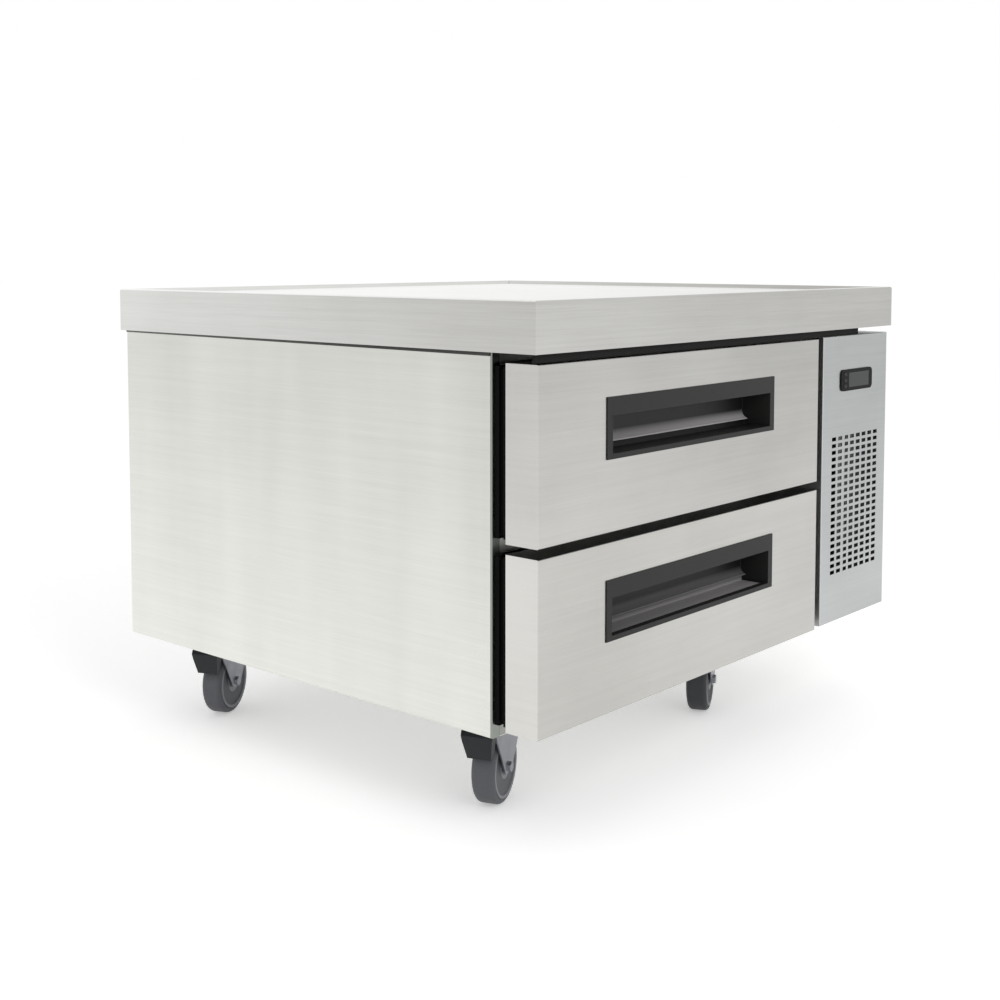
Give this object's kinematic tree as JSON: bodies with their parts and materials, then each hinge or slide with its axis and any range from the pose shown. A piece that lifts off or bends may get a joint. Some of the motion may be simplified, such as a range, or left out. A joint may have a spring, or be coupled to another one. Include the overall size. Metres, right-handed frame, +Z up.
{
  "type": "refrigerated chef base",
  "caption": "Low refrigerated equipment stand with a raised-edge worktop, drawers for food pans, a condensing unit behind a slotted panel, and braked swivel castors.",
  "frame": {"origin": "on the floor, under the middle of the overall box", "axes": "+Z up, -Y to the front where the drawers open, +X to the operator's right as they face the drawers"},
  "size_m": [0.924, 0.839, 0.676],
  "materials": {
    "aluminium_fins": "bare pressed fins",
    "black_enamel": "semi-gloss black enamel",
    "black_plastic": "fine moulded texture",
    "brushed_stainless": "fine vertical or lengthwise brushing, satin",
    "copper": "drawn copper tube, dull",
    "fan_plastic": "moulded",
    "galvanised_steel": "matte zinc with a faint spangle",
    "gasket_rubber": "soft, matte",
    "grey_tyre": "smooth grey rubber tread",
    "key_plastic": "smooth",
    "liner_stainless": "smooth 2B mill finish",
    "pedal_plastic": "fine moulded texture",
    "rigid_foam": "foamed in place, matte",
    "zinc_plated_steel": "bright zinc plate"
  },
  "bodies": {
    "cabinet": {"back_panel": "brushed_stainless", "base_pan": "brushed_stainless", "compressor": "black_enamel", "condenser_coil": "aluminium_fins", "condenser_fan_motor": "black_enamel", "condenser_shroud": "galvanised_steel", "condensing_unit_tray": "galvanised_steel", "control_panel": "brushed_stainless", "controller_case": "black_plastic", "discharge_line": "copper", "divider_panel": "galvanised_steel", "evaporator_coil": "aluminium_fins", "evaporator_cover": "liner_stainless", "evaporator_fan_motor": "black_enamel", "filter_drier": "copper", "front_frame": "brushed_stainless", "front_left_castor_plate": "zinc_plated_steel", "front_right_castor_plate": "zinc_plated_steel", "inner_liner": "liner_stainless", "insulation": "rigid_foam", "left_side_panel": "brushed_stainless", "left_slide_rack": "galvanised_steel", "power_inlet": "black_plastic", "rear_left_castor_plate": "zinc_plated_steel", "rear_right_castor_plate": "zinc_plated_steel", "right_side_panel": "brushed_stainless", "right_slide_rack": "galvanised_steel", "suction_line": "copper", "worktop": "brushed_stainless"},
    "upper_drawer": {"upper_drawer_front": "brushed_stainless", "upper_drawer_core": "rigid_foam", "upper_drawer_handle": "black_plastic", "upper_gasket": "gasket_rubber", "upper_pan_frame": "brushed_stainless"},
    "upper_left_mid_rail": {"upper_left_mid_rail": "zinc_plated_steel"},
    "upper_right_mid_rail": {"upper_right_mid_rail": "zinc_plated_steel"},
    "lower_drawer": {"lower_drawer_front": "brushed_stainless", "lower_drawer_core": "rigid_foam", "lower_drawer_handle": "black_plastic", "lower_gasket": "gasket_rubber", "lower_pan_frame": "brushed_stainless"},
    "lower_left_mid_rail": {"lower_left_mid_rail": "zinc_plated_steel"},
    "lower_right_mid_rail": {"lower_right_mid_rail": "zinc_plated_steel"},
    "up_key": {"up_key": "key_plastic"},
    "set_key": {"set_key": "key_plastic"},
    "down_key": {"down_key": "key_plastic"},
    "condenser_fan": {"condenser_fan": "fan_plastic"},
    "evaporator_fan": {"evaporator_fan": "fan_plastic"},
    "front_left_fork": {"front_left_fork": "zinc_plated_steel"},
    "front_left_wheel": {"front_left_wheel": "grey_tyre"},
    "front_left_pedal": {"front_left_pedal": "pedal_plastic"},
    "front_right_fork": {"front_right_fork": "zinc_plated_steel"},
    "front_right_wheel": {"front_right_wheel": "grey_tyre"},
    "front_right_pedal": {"front_right_pedal": "pedal_plastic"},
    "rear_left_fork": {"rear_left_fork": "zinc_plated_steel"},
    "rear_left_wheel": {"rear_left_wheel": "grey_tyre"},
    "rear_left_pedal": {"rear_left_pedal": "pedal_plastic"},
    "rear_right_fork": {"rear_right_fork": "zinc_plated_steel"},
    "rear_right_wheel": {"rear_right_wheel": "grey_tyre"},
    "rear_right_pedal": {"rear_right_pedal": "pedal_plastic"}
  },
  "joints": [
    {"name": "upper_drawer_slide", "type": "slide", "parent": "cabinet", "child": "upper_drawer", "axis": [0, -1, 0], "range_m": [0, 0.5]},
    {"name": "upper_left_rail_slide", "type": "slide", "parent": "cabinet", "child": "upper_left_mid_rail", "axis": [0, -1, 0], "range_m": [0, 0.25]},
    {"name": "upper_right_rail_slide", "type": "slide", "parent": "cabinet", "child": "upper_right_mid_rail", "axis": [0, -1, 0], "range_m": [0, 0.25]},
    {"name": "lower_drawer_slide", "type": "slide", "parent": "cabinet", "child": "lower_drawer", "axis": [0, -1, 0], "range_m": [0, 0.5]},
    {"name": "lower_left_rail_slide", "type": "slide", "parent": "cabinet", "child": "lower_left_mid_rail", "axis": [0, -1, 0], "range_m": [0, 0.25]},
    {"name": "lower_right_rail_slide", "type": "slide", "parent": "cabinet", "child": "lower_right_mid_rail", "axis": [0, -1, 0], "range_m": [0, 0.25]},
    {"name": "up_key_press", "type": "slide", "parent": "cabinet", "child": "up_key", "axis": [0, 1, 0], "range_m": [0, 0.0006], "stiffness_N_per_m": 500},
    {"name": "set_key_press", "type": "slide", "parent": "cabinet", "child": "set_key", "axis": [0, 1, 0], "range_m": [0, 0.0006], "stiffness_N_per_m": 500},
    {"name": "down_key_press", "type": "slide", "parent": "cabinet", "child": "down_key", "axis": [0, 1, 0], "range_m": [0, 0.0006], "stiffness_N_per_m": 500},
    {"name": "condenser_fan_spin", "type": "hinge", "parent": "cabinet", "child": "condenser_fan", "pos_m": [0.34205, -0.2544, 0.2888], "axis": [0, 1, 0], "continuous": true},
    {"name": "evaporator_fan_spin", "type": "hinge", "parent": "cabinet", "child": "evaporator_fan", "pos_m": [-0.1148, 0.2839, 0.3706], "axis": [0, 1, 0], "continuous": true},
    {"name": "front_left_swivel", "type": "hinge", "parent": "cabinet", "child": "front_left_fork", "pos_m": [-0.3152, -0.2415, 0.1145], "axis": [0, 0, 1], "continuous": true},
    {"name": "front_left_roll", "type": "hinge", "parent": "front_left_fork", "child": "front_left_wheel", "pos_m": [-0.34601, -0.25333, 0.05], "axis": [0.3584, -0.9336, 0], "continuous": true},
    {"name": "front_left_brake", "type": "hinge", "parent": "front_left_fork", "child": "front_left_pedal", "pos_m": [-0.36393, -0.26021, 0.1095], "axis": [0.3584, -0.9336, 0], "range_deg": [0, 8]},
    {"name": "front_right_swivel", "type": "hinge", "parent": "cabinet", "child": "front_right_fork", "pos_m": [0.1338, -0.26, 0.1145], "axis": [0, 0, 1], "continuous": true},
    {"name": "front_right_roll", "type": "hinge", "parent": "front_right_fork", "child": "front_right_wheel", "pos_m": [0.16371, -0.24605, 0.05], "axis": [-0.4226, 0.9063, 0], "continuous": true},
    {"name": "front_right_brake", "type": "hinge", "parent": "front_right_fork", "child": "front_right_pedal", "pos_m": [0.18111, -0.23794, 0.1095], "axis": [-0.4226, 0.9063, 0], "range_deg": [0, 8]},
    {"name": "rear_left_swivel", "type": "hinge", "parent": "cabinet", "child": "rear_left_fork", "pos_m": [-0.3152, 0.336, 0.1145], "axis": [0, 0, 1], "continuous": true},
    {"name": "rear_left_roll", "type": "hinge", "parent": "rear_left_fork", "child": "rear_left_wheel", "pos_m": [-0.34511, 0.32205, 0.05], "axis": [0.4226, -0.9063, 0], "continuous": true},
    {"name": "rear_left_brake", "type": "hinge", "parent": "rear_left_fork", "child": "rear_left_pedal", "pos_m": [-0.36251, 0.31394, 0.1095], "axis": [0.4226, -0.9063, 0], "range_deg": [0, 8]},
    {"name": "rear_right_swivel", "type": "hinge", "parent": "cabinet", "child": "rear_right_fork", "pos_m": [0.1338, 0.336, 0.1145], "axis": [0, 0, 1], "continuous": true},
    {"name": "rear_right_roll", "type": "hinge", "parent": "rear_right_fork", "child": "rear_right_wheel", "pos_m": [0.16481, 0.32471, 0.05], "axis": [0.342, 0.9397, 0], "continuous": true},
    {"name": "rear_right_brake", "type": "hinge", "parent": "rear_right_fork", "child": "rear_right_pedal", "pos_m": [0.18285, 0.31815, 0.1095], "axis": [0.342, 0.9397, 0], "range_deg": [0, 8]}
  ],
  "couplings": [
    {"joint": "upper_left_rail_slide", "follows": "upper_drawer_slide", "ratio": 0.5},
    {"joint": "upper_right_rail_slide", "follows": "upper_drawer_slide", "ratio": 0.5},
    {"joint": "lower_left_rail_slide", "follows": "lower_drawer_slide", "ratio": 0.5},
    {"joint": "lower_right_rail_slide", "follows": "lower_drawer_slide", "ratio": 0.5}
  ]
}
